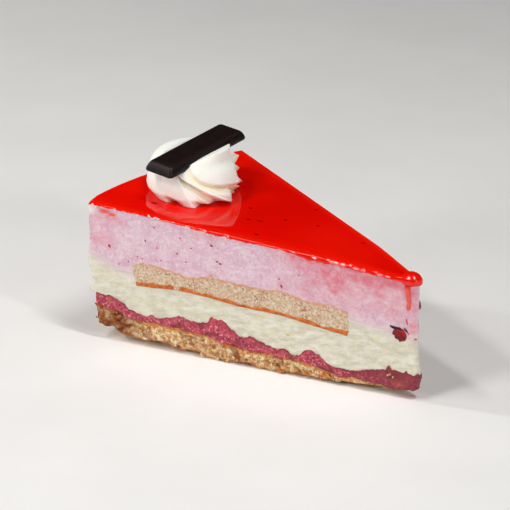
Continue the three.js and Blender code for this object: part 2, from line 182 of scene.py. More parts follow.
def height_curve(pairs):
    """Smooth height along the radius through a few measured pairs."""
    knots, heights = np.array(pairs, float).T
    slopes = np.diff(heights) / np.diff(knots)
    tangents = np.concatenate([slopes[:1], (slopes[1:] + slopes[:-1]) / 2, slopes[-1:]])

    def at(radius):
        radius = np.clip(radius, knots[0], knots[-1])
        i = np.clip(np.searchsorted(knots, radius, side="right") - 1, 0, len(knots) - 2)
        span = knots[i + 1] - knots[i]
        t = (radius - knots[i]) / span
        start = heights[i] * (1 + 2 * t) * (1 - t) ** 2 + tangents[i] * span * t * (1 - t) ** 2
        end = heights[i + 1] * t * t * (3 - 2 * t) - tangents[i + 1] * span * t * t * (1 - t)
        return start + end

    return at


def mounds(value, places):
    """Smooth mounds along a line: each has its middle, half length and height."""
    total = np.zeros(np.shape(value))
    for middle, half, height in places:
        total = total + height * smooth(np.abs(value - middle), half, half * 0.4)
    return total


def blots(r, z, places):
    """Soft oval marks: each has its radius, height, half length, half height and strength."""
    total = np.zeros(np.broadcast(r, z).shape)
    for radius, height, along, up, strength in places:
        distance = np.hypot((r - radius) / along, (z - height) / up)
        total = np.maximum(total, strength * smooth(distance, 1, 0.25))
    return total


def cell_value(i, j, seed):
    """A repeatable value between -1 and 1 for each whole-numbered cell."""
    h = (np.int64(i) * 374761393) ^ (np.int64(j) * 668265263) ^ (seed * 974634777)
    h &= 0xFFFFFFFF
    h = ((h ^ (h >> 13)) * 1274126177) & 0xFFFFFFFF
    return ((h ^ (h >> 16)) / 4294967295) * 2 - 1


def noise(x, y, seed):
    """Smooth noise between -1 and 1, from the values of the cells round each point."""
    x, y = np.broadcast_arrays(np.asarray(x, float), np.asarray(y, float))
    i, j = np.floor(x).astype(np.int64), np.floor(y).astype(np.int64)
    fx, fy = smooth(x - i, 0, 1), smooth(y - j, 0, 1)
    low = lerp(cell_value(i, j, seed), cell_value(i + 1, j, seed), fx)
    high = lerp(cell_value(i, j + 1, seed), cell_value(i + 1, j + 1, seed), fx)
    return lerp(low, high, fy)


def rough(x, y, seed, octaves=3):
    """Noise with finer and weaker noise added."""
    total, scale = 0, 1
    for octave in range(octaves):
        total = total + noise(x * scale, y * scale, seed + octave) / scale
        scale *= 2
    return total


def spots(x, y, seed):
    """Distance to the nearest of the scattered points, one to a cell."""
    x, y = np.broadcast_arrays(np.asarray(x, float), np.asarray(y, float))
    i, j = np.floor(x).astype(np.int64), np.floor(y).astype(np.int64)
    nearest = np.full(x.shape, 9.0)
    for di in (-1, 0, 1):
        for dj in (-1, 0, 1):
            px = i + di + 0.5 + 0.45 * cell_value(i + di, j + dj, seed)
            py = j + dj + 0.5 + 0.45 * cell_value(i + di, j + dj, seed + 7)
            nearest = np.minimum(nearest, np.hypot(px - x, py - y))
    return nearest


# Heights of the layers

def along_slice(radius):
    return (radius - TIP_RADIUS) / (RIM_RADIUS - TIP_RADIUS)


def boundary(shown, tip, rim, wave, length, seed, ragged=0.0, spikes=()):
    """A height over the slice from its measured line in the shown face. Spikes stand up from
    that line: each has its radius, half length and height."""
    front = height_curve(shown)

    def at(radius, v):
        back = lerp(tip, rim, along_slice(radius)) + wave * noise(radius / length, 7.3, seed)
        inside = wave * 0.6 * noise(radius / length, v * 3 + 0.5, seed + 1)
        near = front(radius) + mounds(radius, spikes) * smooth(v, 0.1, 0)
        height = lerp(near, back, smooth(v, 0, 1))
        edge = ragged * rough(radius / 1.5, v * radius * SLICE_ANGLE / 1.5, seed + 2, 2)
        return height + inside * 4 * np.maximum(v * (1 - v), 0) + edge

    return at


raspberry_top = boundary(
    shown=[
        (5, 9.2), (12, 9.3), (21, 7.6), (30, 6.1), (35, 6.9), (42.3, 10.5), (47.5, 7.9), (52, 9),
        (55, 8.4), (62, 10.8), (69, 10.9), (75, 15), (78.8, 15), (81, 13.4), (93, 13.3),
        (97, 12.1), (106, 11.9), (111.3, 13.2), (114, 15.1), (120, 16.6), (126, 16.9)],
    tip=8.5, rim=16, wave=1.4, length=11, seed=11, ragged=0.42,
    spikes=[(79.2, 0.9, 0.9), (13.8, 1.2, 1.2), (7.8, 0.8, 0.8), (64.8, 0.6, 0.5), (102, 1.5, 0.6)])
raspberry_bottom = boundary(
    shown=[
        (5, 3.4), (14, 2.9), (24, 3.8), (33, 3.6), (42, 5.6), (57, 6.4), (70, 6.4), (83, 8.8),
        (97, 9.5), (108.7, 9.5), (117, 11.6), (126, 12.9)],
    tip=3, rim=11.5, wave=0.9, length=17, seed=21, ragged=0.22)
mousse_line = boundary(
    shown=[(5, 21), (19, 22.7), (28, 24), (68, 25.5), (108, 25.9), (118, 28), (126, 31)],
    tip=21.3, rim=29, wave=1, length=23, seed=31, ragged=0.3)
slab_top = boundary(
    shown=[
        (28, 26.6), (36, 27.7), (44, 27.8), (53, 29.6), (60, 29), (75, 29.7), (82, 29.5),
        (86.5, 28.5), (93, 29.3), (102, 30.5), (107, 30.1), (109, 28.8)],
    tip=26.4, rim=30.4, wave=0.8, length=13, seed=41, ragged=0.2, spikes=[(79.1, 0.9, 1.3)])
slab_bottom = boundary(
    shown=[
        (28, 18.2), (41, 19.6), (53, 21.1), (68, 21.5), (80, 22.6), (93, 23.1), (98, 22.7),
        (109, 22)],
    tip=18, rim=23.4, wave=0.6, length=29, seed=51)
biscuit_shown_edge = height_curve([
    (12, 2.2), (22, 2.3), (30, 1.5), (46, 1.2), (60, 0.4), (65, 1), (70, 1.2), (75, 0.2),
    (81, 0.6), (85.6, 2.3), (92, 1.8), (99, 3), (111.5, 2.8), (116, 4.2), (118.6, 6.9),
    (120.4, 5.1), (122.5, 5.7), (126, 9.6)])
glaze_shown_edge = height_curve([
    (5, 39.6), (10, 40.1), (20, 41), (34, 42.1), (42, 42.2), (54, 44.1), (62, 44.3), (78, 45.2),
    (90, 46.4), (102, 47.6), (114, 48), (125, 48.3)])
mousse_rim = height_curve([
    (11, -0.6), (16.7, 0.7), (18.8, 0.7), (20.1, -0.5), (22.8, 0.5), (26.3, 1.4), (29.6, 1.4),
    (35.5, 0.8), (48, 0.6)])


def glaze_top(radius):
    return lerp(TIP_HEIGHT, RIM_HEIGHT, along_slice(radius))


def glaze_surface(radius, v):
    """The glaze's top, lower towards the shown face and the tip."""
    fullness = np.minimum(1, radius * SLICE_ANGLE / DIP_FULL_WIDTH)
    edge = radius * SLICE_ANGLE * v
    nearness = 1 - np.clip(edge / (DIP_REACH * fullness), 0, 1)
    fall = TIP_FALL * smooth(radius, 34, 9) * lerp(0.5, 1, v)
    return glaze_top(radius) - DIP_DEPTH * fullness * nearness ** 1.3 - fall


def glaze_bottom(radius, v):
    thickness = lerp(GLAZE_AT_TIP, GLAZE_AT_RIM, np.minimum(1, along_slice(radius) * 1.25))
    far = glaze_top(radius) - thickness + 0.25 * noise(radius / 2.4, 2, 271)
    near = glaze_shown_edge(radius) + 0.2 * rough(radius / 1.4, 5, 273, 2)
    return lerp(near, far, smooth(v, 0, 1))


def biscuit_underside(radius, v):
    """Flat where it bears; it lifts at its broken edges."""
    across = radius * SLICE_ANGLE
    far_edge = 0.9 + noise(radius / 6, 3.1, 61)
    rim_edge = 2 + 1.2 * noise(v * 6, 1.7, 62)
    tip_lift = BISCUIT_TIP_LIFT * (BISCUIT_FLAT_FROM - radius)
    lifts = [
        biscuit_shown_edge(radius) + 0.25 * noise(radius / 1.1, 1, 63) - v * across * UNDERSIDE_SLOPE,
        far_edge - (1 - v) * across * UNDERSIDE_SLOPE,
        rim_edge - (RIM_RADIUS - radius) * UNDERSIDE_SLOPE,
        tip_lift / (BISCUIT_FLAT_FROM - BISCUIT_INNER),
    ]
    return np.maximum(0, np.maximum.reduce(lifts))


def within_slab(radius, outer):
    """1 where a mousse gives way to the slab, which laps over the step by SLAB_HOLD."""
    inner_edge = SLAB_INNER + SLAB_HOLD
    outer_edge = outer - SLAB_HOLD
    return smooth(radius, inner_edge, inner_edge + 0.3) * smooth(radius, outer_edge, outer_edge - 0.3)


def vanilla_top(radius, v):
    slab = within_slab(radius, SLAB_OUTER - SLAB_LEAN)
    return lerp(mousse_line(radius, v), slab_bottom(radius, v) + SLAB_LAP, slab)


def rose_bottom(radius, v):
    slab = within_slab(radius, SLAB_OUTER)
    return lerp(mousse_line(radius, v), slab_top(radius, v) - SLAB_LAP, slab)


def rose_top(radius, v):
    return glaze_surface(radius, np.clip(v, 0, 1)) - GLAZE_COVER


# Meshes

def add_to_scene(name, data):
    made = bpy.data.objects.new(name, data)
    bpy.context.scene.collection.objects.link(made)
    return made


class Mesh:
    """Points, faces and marks of one piece. A mark is a number at each point that the
    material reads."""

    def __init__(self, *marks):
        self.points = []
        self.faces = []
        self.marks = {name: [] for name in marks}
        self.count = 0

    def add(self, points, **marks):
        points = np.asarray(points, float).reshape(-1, 3)
        self.points.append(points)
        for name, values in self.marks.items():
            values.append(np.broadcast_to(np.ravel(marks.get(name, 0.0)), (len(points),)))
        start = self.count
        self.count += len(points)
        return start

    def add_quads(self, a, b, c, d):
        self.faces += np.stack([a, b, c, d], -1).reshape(-1, 4).tolist()

    def add_tube(self, rings, ends=True, **marks):
        """A skin through rings of points, each anticlockwise seen from the last one."""
        levels, count = rings.shape[:2]
        start = self.add(rings, **marks)
        index = start + np.arange(levels * count).reshape(levels, count)
        after = np.roll(index, -1, axis=1)
        self.add_quads(index[:-1], after[:-1], after[1:], index[1:])
        if ends:
            self.faces.append(index[0, ::-1].tolist())
            self.faces.append(index[-1].tolist())
        return index

    def stitch(self, right, left):
        """Triangles between two lines of points that start and end together."""
        i = j = 0
        while i < len(right) - 1 or j < len(left) - 1:
            ahead = i / (len(right) - 1) <= j / (len(left) - 1)
            if (ahead and i < len(right) - 1) or j == len(left) - 1:
                face = [right[i], right[i + 1], left[j]]
                i += 1
            else:
                face = [right[i], left[j + 1], left[j]]
                j += 1
            if len(set(face)) == 3:
                self.faces.append(face)

    def build(self, name, material, slot, *nodes):
        """The finished piece, which stands for the CAD nodes named."""
        points = (np.concatenate(self.points) + MIDDLE_OF_CAKE) * MM
        data = bpy.data.meshes.new(name)
        data.from_pydata(points.tolist(), [], self.faces)
        data.shade_smooth()
        for mark, values in self.marks.items():
            attribute = data.attributes.new(mark, "FLOAT", "POINT")
            attribute.data.foreach_set("value", np.concatenate(values).astype(np.float32))
        data.materials.append(material)
        piece = add_to_scene(name, data)
        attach(piece, "root")
        if nodes:
            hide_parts(*nodes)


# Layers of the slice

def place(radius, v):
    angle = (v - 0.5) * SLICE_ANGLE
    return -radius * np.cos(angle), radius * np.sin(angle)


def polar(x, y):
    return np.hypot(x, y), np.arctan2(y, -x) / SLICE_ANGLE + 0.5


def face_axes(v):
    """Level directions out of a cut face and along it, towards the tip."""
    side = -1 if v < 0.5 else 1
    out = np.array([math.sin(HALF_ANGLE), side * math.cos(HALF_ANGLE), 0.0])
    along = np.array([math.cos(HALF_ANGLE), -side * math.sin(HALF_ANGLE), 0.0])
    return out, along


class Columns:
    """Columns of points round a layer: the shown face from rim to tip, the tip, the far
    face and the rim. Weights say how far each side's relief reaches round its corners."""

    def __init__(self, inner, outer):
        self.along = round((outer - inner) / COLUMN_STEP) + 1
        self.tip = max(2, round(inner * SLICE_ANGLE / COLUMN_STEP))
        rim = round(outer * SLICE_ANGLE / RIM_STEP)
        self.stations = np.linspace(outer, inner, self.along)
        tip_v = np.arange(1, self.tip) / self.tip
        rim_v = 1 - np.arange(1, rim) / rim
        self.r = np.concatenate([
            self.stations, np.full(self.tip - 1, inner), self.stations[::-1],
            np.full(rim - 1, outer)])
        self.v = np.concatenate([np.zeros(self.along), tip_v, np.ones(self.along), rim_v])
        x, y = place(self.r, self.v)
        steps = np.hypot(np.diff(x, prepend=x[0]), np.diff(y, prepend=y[0]))
        self.s = np.cumsum(steps)
        edge = self.r * np.minimum(self.v, 1 - self.v) * SLICE_ANGLE
        self.face_weight = self.weight(edge)
        self.rim_weight = self.weight(outer - self.r)
        self.tip_weight = self.weight(self.r - inner)
        self.nose = 4 * self.v * (1 - self.v) * (self.r <= inner)
        self.out_x = math.sin(HALF_ANGLE)
        self.out_y = np.where(self.v < 0.5, -1, 1) * math.cos(HALF_ANGLE)

    @staticmethod
    def weight(distance):
        return np.clip(1 - distance / CORNER_REACH, 0, 1) ** 2


class Wall:
    """The outside of a layer, in rows from its bottom to its top."""

    def __init__(self, inner, outer, levels, bottom, top):
        self.columns = columns = Columns(inner, outer)
        self.bottom = bottom
        self.top = top
        self.w = np.linspace(0, 1, levels + 1)[:, None]
        self.r, self.v, self.s = columns.r[None, :], columns.v[None, :], columns.s[None, :]
        self.low, self.high = bottom(self.r, self.v), top(self.r, self.v)
        self.z = lerp(self.low, self.high, self.w)
        self.shown = smooth(self.v, 0.5, 0.2) * np.ones_like(self.z)

    def push(self, face, rim=0.0, tip=0.0):
        """Moves the points out of each side, and sets their heights where they end up."""
        c = self.columns
        x, y = place(self.r, self.v)
        radial_x, radial_y = x / self.r, y / self.r
        face = face * c.face_weight
        rim = rim * c.rim_weight
        x = x + c.out_x * face + radial_x * rim + tip * c.tip_weight + NOSE * c.nose
        y = y + c.out_y * face + radial_y * rim
        radius, v = polar(x, y)
        z = lerp(self.bottom(radius, v), self.top(radius, v), self.w)
        self.points = np.stack([x, y, z], -1)


def close_wall(mesh, wall, loop, rows, at_top, move=None, **marks):
    """Closes the wall at its bottom or top with rows of points across the slice."""
    c = wall.columns
    front = loop[:c.along]
    tip = loop[c.along - 1:c.along + c.tip]
    back = loop[c.along + c.tip - 1:2 * c.along + c.tip - 1][::-1]
    rim = np.append(loop[2 * c.along + c.tip - 2:], loop[0])[::-1]
    v = np.broadcast_to(rows, (len(rows), c.along))
    r = np.broadcast_to(c.stations, v.shape)
    x, y = place(r, v)
    points = np.stack([x, y, (wall.top if at_top else wall.bottom)(r, v)], -1)
    inside = mesh.add(points if move is None else move(points), **marks)
    lines = np.vstack([front, inside + np.arange(v.size).reshape(v.shape), back])
    first = len(mesh.faces)
    mesh.add_quads(lines[:-1, :-1], lines[:-1, 1:], lines[1:, 1:], lines[1:, :-1])
    mesh.stitch(lines[:, 0].tolist(), rim.tolist())
    mesh.stitch(tip.tolist(), lines[:, -1].tolist())
    if not at_top:
        mesh.faces[first:] = [face[::-1] for face in mesh.faces[first:]]


def layer_mesh(wall, **marks):
    mesh = Mesh(*marks)
    index = mesh.add_tube(wall.points, ends=False, **marks)
    close_wall(mesh, wall, index[0], CAP_ROWS, False)
    close_wall(mesh, wall, index[-1], CAP_ROWS, True)
    return mesh


# Materials

def colour(red, green, blue):
    """A colour given as it looks in a picture, from 0 to 255, for a node."""
    share = np.array([red, green, blue]) / 255
    linear = np.where(share <= 0.04045, share / 12.92, ((share + 0.055) / 1.055) ** 2.4)
    return (*linear.tolist(), 1.0)


class Finish:
    """A material whose colour is built up in layers."""

    def __init__(self, name, soft=0.0, **settings):
        self.material = bpy.data.materials.new(name)
        self.material.use_nodes = True
        self.tree = self.material.node_tree
        self.shader = self.tree.nodes["Principled BSDF"]
        if soft:
            settings.update(Subsurface_Weight=soft, Subsurface_Scale=0.0014,
                            Subsurface_Radius=(1.0, 0.85, 0.7))
        for socket, value in settings.items():
            self.shader.inputs[socket.replace("_", " ")].default_value = value
        self.place = self.tree.nodes.new("ShaderNodeTexCoord").outputs["Object"]

    def node(self, kind, inputs, output=0, **settings):
        made = self.tree.nodes.new(kind)
        for name, value in settings.items():
            setattr(made, name, value)
        for socket, value in inputs.items():
            if isinstance(value, bpy.types.NodeSocket):
                self.tree.links.new(value, made.inputs[socket])
            else:
                made.inputs[socket].default_value = value
        return made.outputs[output]

    def mark(self, name):
        return self.node("ShaderNodeAttribute", {}, "Fac", attribute_name=name)

    def noise(self, size, detail=3.0, stretch=(1, 1, 1), tilt=0.0, roughness=0.5):
        """Noise of a size in millimetres, stretched along axes that are tilted in degrees."""
        turned = {"Vector": self.place, "Rotation": (0, math.radians(tilt), 0), "Scale": stretch}
        inputs = {
            "Vector": self.node("ShaderNodeMapping", turned, vector_type="TEXTURE"),
            "Scale": 1 / (size * MM), "Detail": detail, "Roughness": roughness}
        return self.node("ShaderNodeTexNoise", inputs, "Fac")

    def between(self, value, low, high, result_low=0.0, result_high=1.0):
        inputs = {"Value": value, "From Min": low, "From Max": high,
                  "To Min": result_low, "To Max": result_high}
        return self.node("ShaderNodeMapRange", inputs, interpolation_type="SMOOTHSTEP")

    def times(self, a, b):
        return self.node("ShaderNodeMath", {0: a, 1: b}, operation="MULTIPLY")

    def mix(self, amount, a, b):
        inputs = {"Factor": amount, "A": a, "B": b}
        return self.node("ShaderNodeMix", inputs, "Result", data_type="RGBA")

    def blend(self, value, low, high, first, second):
        """The ground colour, which goes from the first to the second as the value rises."""
        self.lay(self.between(value, low, high), colour(*first), colour(*second))

    def cover(self, amount, over):
        """Another colour over what is there; the amount may be the name of a mark."""
        amount = self.mark(amount) if isinstance(amount, str) else amount
        self.lay(amount, self.result, colour(*over))

    def lay(self, amount, under, over):
        self.result = self.mix(amount, under, over)
        self.tree.links.new(self.result, self.shader.inputs["Base Color"])

    def bump(self, *steps):
        """Bumps on each other, each a height and how deep it is in millimetres."""
        normal = None
        for height, depth in steps:
            inputs = {"Height": height, "Distance": depth * MM, "Strength": 1.0}
            if normal is not None:
                inputs["Normal"] = normal
            normal = self.node("ShaderNodeBump", inputs, "Normal")
        self.tree.links.new(normal, self.shader.inputs["Normal"])


WHERE_MOUSSES_MEET = (228, 210, 206)


def rose_mousse_finish():
    f = Finish("rose_mousse", soft=0.25, Roughness=0.7, Specular_IOR_Level=0.3)
    fine = f.noise(0.95, 3, roughness=0.6)
    stroke = f.noise(1.3, 3, stretch=(3, 3, 1), tilt=-14)
    streak = f.between(f.noise(1.8, 3, roughness=0.6), 0.3, 0.65, 0.5, 1)
    f.blend(f.noise(5, 3, roughness=0.6), 0.34, 0.66, (222, 182, 199), (232, 204, 214))
    f.cover(f.between(fine, 0.5, 0.68, 0, 0.5), (242, 228, 234))
    f.cover(f.between(fine, 0.48, 0.3, 0, 0.5), (212, 154, 176))
    f.cover(f.between(stroke, 0.52, 0.72, 0, 0.5), (242, 226, 230))
    f.cover(f.times(f.mark("wash"), streak), (228, 108, 122))
    f.cover("pale", WHERE_MOUSSES_MEET)
    f.cover("white", (244, 238, 232))
    f.cover("smear", (246, 84, 50))
    f.bump((fine, 0.18), (stroke, 0.16), (f.noise(0.3, 1), 0.05))
    return f.material


def vanilla_mousse_finish():
    f = Finish("vanilla_mousse", soft=0.3, Roughness=0.6, Specular_IOR_Level=0.35)
    streak = f.noise(1.7, 4, stretch=(2.6, 2.6, 1), tilt=-8, roughness=0.6)
    long_streak = f.noise(2.6, 3, stretch=(2.4, 2.4, 1), tilt=-12)
    fine = f.noise(0.8, 3, roughness=0.6)
    f.blend(streak, 0.34, 0.66, (213, 207, 183), (233, 230, 213))
    f.cover(f.between(long_streak, 0.54, 0.7, 0, 0.5), (228, 220, 182))
    f.cover(f.between(fine, 0.52, 0.72, 0, 0.5), (243, 240, 230))
    f.cover("blush", WHERE_MOUSSES_MEET)
    f.cover("yellow", (226, 178, 60))
    f.bump((streak, 0.26), (fine, 0.12))
    return f.material


def raspberry_layer_finish():
    f = Finish("raspberry_filling", soft=0.12, Roughness=0.42, Coat_Weight=0.15, Coat_Roughness=0.2)
    grain = f.noise(0.8, 4, roughness=0.7)
    froth = f.times(f.mark("grain"), f.between(grain, 0.53, 0.64, 0, 0.85))
    pit = f.times(f.mark("grain"), f.between(grain, 0.45, 0.36, 0, 0.9))
    f.blend(f.noise(2, 3), 0.42, 0.6, (200, 68, 88), (172, 40, 60))
    f.cover(froth, (238, 158, 180))
    f.cover(pit, (122, 10, 38))
    f.cover("dark", (126, 12, 36))
    f.cover("brown", (184, 84, 48))
    f.bump((grain, 0.3), (f.noise(0.35, 2), 0.1))
    return f.material


def biscuit_finish():
    f = Finish("biscuit", Roughness=0.85)
    crumb = f.noise(1.4, 4, roughness=0.7)
    patch = f.between(f.noise(2.2, 4, roughness=0.7), 0.5, 0.62, 0, 0.6)
    pits = f.between(f.noise(0.7, 3, roughness=0.7), 0.42, 0.32, 0, 0.8)
    f.blend(crumb, 0.38, 0.6, (210, 150, 80), (252, 234, 190))
    f.cover(patch, (194, 114, 46))
    f.cover("golden", (214, 128, 50))
    f.cover("brown", (160, 78, 26))
    f.cover(pits, (106, 52, 18))
    # The dark mark is painted shade in the holes, and the biscuit's own darker brown at its rim end.
    f.cover("dark", (84, 36, 14))
    f.bump((crumb, 0.5), (f.noise(0.45, 2), 0.2))
    return f.material


def sponge_finish():
    f = Finish("sponge", soft=0.1, Roughness=0.85)
    crumb = f.noise(0.9, 4, roughness=0.65)
    fleck = f.between(f.noise(0.75, 3, roughness=0.65), 0.57, 0.66, 0, 0.85)
    baked = f.between(f.noise(1.6, 3), 0.42, 0.66)
    baked = f.mix(baked, colour(214, 114, 36), colour(186, 84, 24))
    f.blend(crumb, 0.36, 0.66, (204, 168, 134), (231, 214, 190))
    f.cover(fleck, (184, 110, 58))
    f.cover("skin", (216, 150, 112))
    # Painted shade: the pores are painted darker brown.
    f.cover("pore", (170, 104, 60))
    f.lay(f.mark("crust"), f.result, baked)
    f.bump((crumb, 0.25), (f.noise(0.4, 2), 0.1))
    return f.material


def glaze_finish():
    f = Finish("mirror_glaze", Roughness=0.35, Specular_IOR_Level=0.0, Coat_Weight=0.42,
               Coat_Roughness=0.02, Coat_IOR=2.1)
    f.blend(f.noise(34, 2), 0.35, 0.65, (228, 10, 2), (236, 18, 4))
    f.cover("thin", (250, 34, 10))
    # The run of glaze is paler than the sheet, and lighter down its outer middle as a painted
    # highlight.
    f.cover("drip", (238, 104, 84))
    f.bump((f.noise(11, 2), 0.08))
    return f.material


def cream_finish():
    f = Finish("whipped_cream", soft=0.6, Roughness=0.5, Specular_IOR_Level=0.35)
    f.blend(f.noise(4, 3), 0.35, 0.65, (251, 250, 236), (254, 253, 243))
    # Painted shade: valleys between the flutes and the groove under the top coil get a warmer, darker
    # cream.
    f.cover("crease", (248, 234, 202))
    f.bump((f.noise(1.1, 3), 0.12), (f.noise(0.35, 1), 0.04))
    return f.material


def chocolate_finish():
    f = Finish("dark_chocolate", Roughness=0.42, Specular_IOR_Level=0.25)
    f.blend(f.noise(3, 3, roughness=0.6), 0.35, 0.65, (17, 9, 9), (27, 15, 14))
    # Painted sheen: the rounded top edge of the bar is painted lighter.
    f.cover("edge", (35, 23, 22))
    f.bump((f.noise(1.4, 3), 0.1), (f.noise(0.4, 1), 0.03))
    return f.material


def berry_finish():
    f = Finish("berry", soft=0.1, Roughness=0.45, Specular_IOR_Level=0.25, Coat_Weight=0.06,
               Coat_Roughness=0.08)
    f.blend(f.noise(1.4, 2), 0.42, 0.6, (110, 6, 16), (150, 18, 26))
    f.cover("bright", (196, 36, 30))
    # On the front piece the dark mark is painted shade of the hollow above it.
    f.cover("dark", (52, 4, 24))
    f.bump((f.noise(0.8, 2), 0.15))
    return f.material


def fruit_speck_finish():
    f = Finish("fruit_specks", Roughness=0.45)
    f.blend(f.noise(0.6, 2), 0.42, 0.58, (150, 18, 48), (190, 48, 78))
    f.bump((f.noise(0.5, 2), 0.1))
    return f.material


def seed_finish():
    f = Finish("glazed_seeds", Roughness=0.6, Specular_IOR_Level=0.0)
    f.blend(f.noise(0.6, 2), 0.4, 0.6, (110, 4, 4), (160, 8, 4))
    return f.material


def white_crumb_finish():
    f = Finish("white_crumbs", soft=0.2, Roughness=0.6)
    f.blend(f.noise(0.7, 2), 0.4, 0.6, (234, 200, 210), (246, 234, 234))
    return f.material


def floor_finish():
    f = Finish("pale_floor", Roughness=0.7)
    f.blend(f.noise(60, 3), 0.3, 0.7, (238, 236, 233), (242, 240, 237))
    return f.material


# Pieces

def biscuit_base(finish):
    wall = Wall(BISCUIT_INNER, RIM_RADIUS, 26, biscuit_underside, raspberry_bottom)
    s, z, r, v, w = wall.s, wall.z, wall.r, wall.v, wall.w
    warp = 0.5 * rough(s / 1.3, z / 1.1, 202, 2)
    holes = smooth(spots(s / 2.6 + warp, z / 1.9 - warp, 203), 0.3, 0.08)
    holes = holes * smooth(noise(s / 4, z / 3, 204), -0.1, 0.5)
    crumbs = 0.45 * rough(s / 1.9, z / 1.4, 201, 3) - 0.6 * holes
    underside = -0.8 * (1 - smooth(w, 0, 0.25))
    face = -0.45 + 0.7 * noise(r / 3.2, w * 2 + v * 9, 71) + crumbs + underside
    rim = -1.2 + 0.7 * noise(v * 14, w * 2, 72) + crumbs + underside
    wall.push(face, rim)
    patch = rough(s / 4.5, z / 2.2, 207, 3)
    under_fruit = smooth(wall.high - z + 0.45 * noise(s / 2, 0, 209), 1.5, 0.7)
    crust = smooth(z - wall.low + 0.4 * noise(s / 1.7, 3, 211), 1, 0.3)
    thick = smooth(wall.high - wall.low, 1.2, 3.5)
    golden = np.clip(under_fruit * 0.85 + crust * 0.7, 0, 0.95) * lerp(0.4, 1, thick)
    rim_end = smooth(r, 105, 116) * smooth(z, 15, 10)
    line = smooth(wall.high - z, 0.4, 0.1) * smooth(noise(s / 3, 5, 215), -0.3, 0.4)
    brown = np.clip(line + smooth(patch, 0.3, 0.8) * 0.6 + rim_end * (0.8 + 0.6 * patch), 0, 1)
    # Painted shade in the holes, plus the biscuit's own darker baking at its rim end.
    dark = np.clip(holes * 0.35 + rim_end * (0.2 + 0.7 * smooth(patch, 0, 0.7)), 0, 1)
    mesh = layer_mesh(wall, golden=golden, brown=brown, dark=dark)
    mesh.build("biscuit", finish, "biscuit", "biscuit_base")


def raspberry_layer():
    wall = Wall(TIP_RADIUS, RIM_RADIUS, 26, raspberry_bottom, raspberry_top)
    s, z, r, v, w = wall.s, wall.z, wall.r, wall.v, wall.w
    grain = smooth(w + 0.25 * noise(s / 3, 2, 233), 0.95, 0.6)
    bubbles = lerp(0.1, 0.3, grain) * (0.45 - spots(s / 1.3, z / 1.1, 221))
    bubbles = bubbles + 0.16 * rough(s / 1.3, z, 223, 3)
    face = 0.05 + 0.45 * noise(r / 3.4, w * 2 + v * 9, 81) + bubbles
    rim = -0.9 + 0.45 * noise(v * 12, w * 2, 82) + bubbles
    wall.push(face, rim, 0.6 + 0.7 * w + bubbles)
    clumps = rough(s / 2.8, z / 1.6, 227, 3)
    top_line = smooth(wall.high - z, 1, 0.2) * smooth(noise(s / 2.4, 9, 235), -0.1, 0.5)
    tip_end = smooth(r, 45, 8) * 0.75
    dark = np.clip(smooth(clumps, 0.25, 0.8) * 0.8 + 0.7 * top_line + tip_end, 0, 0.9)
    brown = blots(r, z, [(118.4, 15, 1.9, 1.5, 0.8), (10, 5, 4, 2, 0.35)]) * wall.shown
    mesh = layer_mesh(wall, grain=grain, dark=dark, brown=brown)
    mesh.build("raspberry_filling", raspberry_layer_finish(), "fruit_layer", "raspberry_layer")


def mousse_skin(wall):
    """Relief that both mousses share, so that no step shows where they meet."""
    s, z, r = wall.s, wall.z, wall.r
    grain = 0.07 * rough(s / 1.1, z, 251, 3)
    smears = 0.1 * rough(s / 4, (z - 0.12 * s) / 1.2, 241, 3)
    cream = smooth(mousse_line(r, wall.v) - z, -2.5, 2.5)
    return 0.1 * noise(r / 8, z / 5, 95) - 0.04 + lerp(grain, smears, cream)


def mousse_blend(wall):
    """1 where the mousses meet and less away from there."""
    reach = 3 + 1.4 * rough(wall.s / 4, wall.z / 3, 243, 2)
    distance = np.abs(wall.z - mousse_line(wall.r, wall.v))
    return smooth(distance, np.maximum(reach, 1.2), 0)


def vanilla_mousse():
    wall = Wall(TIP_RADIUS, RIM_RADIUS, 44, raspberry_top, vanilla_top)
    skin = mousse_skin(wall)
    foot = 1.1 * np.maximum(0, 1 - 1.4 * wall.w) ** 2 - 0.1
    below = mousse_line(wall.r, wall.v) - wall.z
    torn = 0.22 * rough(wall.z / 1.5, wall.s / 6, 255, 2) * smooth(below, 0, 4)
    wall.push(skin, mousse_rim(wall.z) + skin + torn, foot + skin)
    yellow = blots(wall.r, wall.z, [
        (120.1, 21.9, 0.9, 0.4, 0.5), (50.4, 14.5, 1.1, 0.5, 1), (20, 18.4, 0.9, 0.5, 0.5),
        (18.5, 12, 1.2, 0.4, 0.5), (115.4, 20.2, 0.8, 0.3, 0.4), (15.6, 22, 0.5, 0.6, 0.5)])
    mesh = layer_mesh(wall, blush=mousse_blend(wall), yellow=yellow * wall.shown)
    mesh.build("vanilla_cream", vanilla_mousse_finish(), "vanilla_mousse", "vanilla_mousse")


